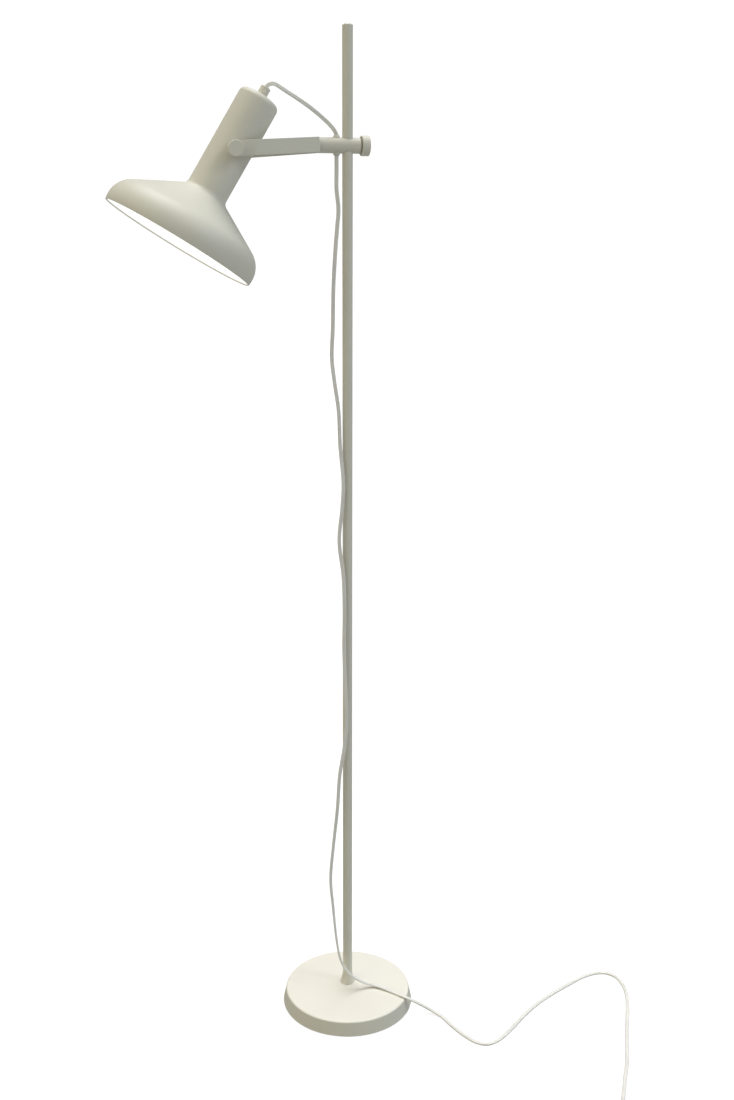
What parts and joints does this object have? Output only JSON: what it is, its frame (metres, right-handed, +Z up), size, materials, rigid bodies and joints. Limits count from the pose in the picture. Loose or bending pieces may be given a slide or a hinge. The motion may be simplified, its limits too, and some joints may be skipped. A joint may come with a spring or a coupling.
{
  "type": "adjustable arm floor lamp",
  "caption": "Reading floor lamp: round weighted base, slim pole, knob-clamped sliding and swivelling fork arm, tilting spun shade, corded foot switch.",
  "frame": {"origin": "centre of the base's underside, on the floor", "axes": "+Z up along the pole, -X towards the lamp head along the arm, -Y the side of the pole where the cord leaves the base"},
  "size_m": [0.858, 0.6503, 1.6266],
  "materials": {
    "putty_paint": "satin powder coat, warm putty grey",
    "cream_paint": "satin powder coat, cream",
    "shade_paint": "satin powder coat outside, matt white enamel inside",
    "white_cable": "matt white cable sheath",
    "white_plastic": "moulded satin white plastic",
    "black_rubber": "matt moulded rubber",
    "nylon": "natural nylon",
    "steel": "zinc plated steel",
    "brass": "turned brass",
    "cast_iron": "rough cast, unpainted",
    "frosted_glass": "frosted glass"
  },
  "bodies": {
    "stand": {"base_cover": "cream_paint", "base_weight": "cast_iron", "base_pad": "black_rubber", "base_bolt": "steel", "base_washer": "steel", "pole_collar": "putty_paint", "pole_foot_insert": "steel", "pole": "putty_paint", "pole_cap": "white_plastic", "cord_drop": "white_cable", "cord_link": "white_cable", "cord_coil": "white_cable", "cord_tail": "white_cable", "coil_tie": "black_rubber", "switch_base": "white_plastic", "switch_cover": "white_plastic", "switch_mechanism": "black_rubber", "switch_relief_in": "white_plastic", "switch_relief_out": "white_plastic", "plug_body": "white_plastic", "plug_relief": "white_plastic", "plug_pin_1": "brass", "plug_pin_2": "brass"},
    "clamp_sleeve": {"pole_bush": "nylon", "cord_swivel": "white_cable"},
    "arm": {"arm_barrel": "putty_paint", "grommet_top": "putty_paint", "grommet_bottom": "putty_paint", "fork_bar_near": "putty_paint", "fork_bar_far": "putty_paint", "fork_block": "putty_paint", "fork_pin_1": "steel", "fork_pin_2": "steel", "pivot_washer_near": "nylon", "pivot_washer_far": "nylon", "cord_upper": "white_cable"},
    "pressure_pad": {"clamp_pad": "brass"},
    "knob": {"clamp_knob": "putty_paint", "clamp_screw": "steel"},
    "head": {"shade_shell": "shade_paint", "cord_gland": "putty_paint", "gland_nut": "brass", "lampholder_cap": "white_plastic", "lampholder_body": "white_plastic", "lampholder_contact": "brass", "bulb_cap": "steel", "bulb_glass": "frosted_glass", "pivot_boss_near": "putty_paint", "pivot_boss_far": "putty_paint", "pivot_cap_near": "putty_paint", "pivot_cap_far": "putty_paint", "pivot_nut_near": "steel", "pivot_nut_far": "steel"},
    "foot_button": {"switch_button": "white_plastic"}
  },
  "joints": [
    {"name": "arm_height", "type": "slide", "parent": "stand", "child": "clamp_sleeve", "axis": [0, 0, 1], "range_m": [-0.7, 0.15], "deforming": ["cord_drop"]},
    {"name": "arm_swivel", "type": "hinge", "parent": "clamp_sleeve", "child": "arm", "pos_m": [0, 0, 1.4545], "axis": [0, 0, 1], "range_deg": [-180, 180], "deforming": ["cord_swivel"]},
    {"name": "head_tilt", "type": "hinge", "parent": "arm", "child": "head", "pos_m": [-0.178, 0, 1.4452], "axis": [0, 1, 0], "range_deg": [-42, 27], "deforming": ["cord_upper"]},
    {"name": "clamp_travel", "type": "slide", "parent": "arm", "child": "pressure_pad", "axis": [1, 0, 0], "range_m": [0, 0.0026]},
    {"name": "knob_turn", "type": "hinge", "parent": "pressure_pad", "child": "knob", "pos_m": [0.02, 0, 1.4545], "axis": [1, 0, 0], "range_deg": [0, 720]},
    {"name": "switch_press", "type": "slide", "parent": "stand", "child": "foot_button", "axis": [0, 0, -1], "range_m": [0, 0.002], "stiffness_N_per_m": 400, "springref_m": -0.0005}
  ],
  "couplings": [
    {"joint": "clamp_travel", "follows": "knob_turn", "m_per_rad": 0.00019894}
  ]
}
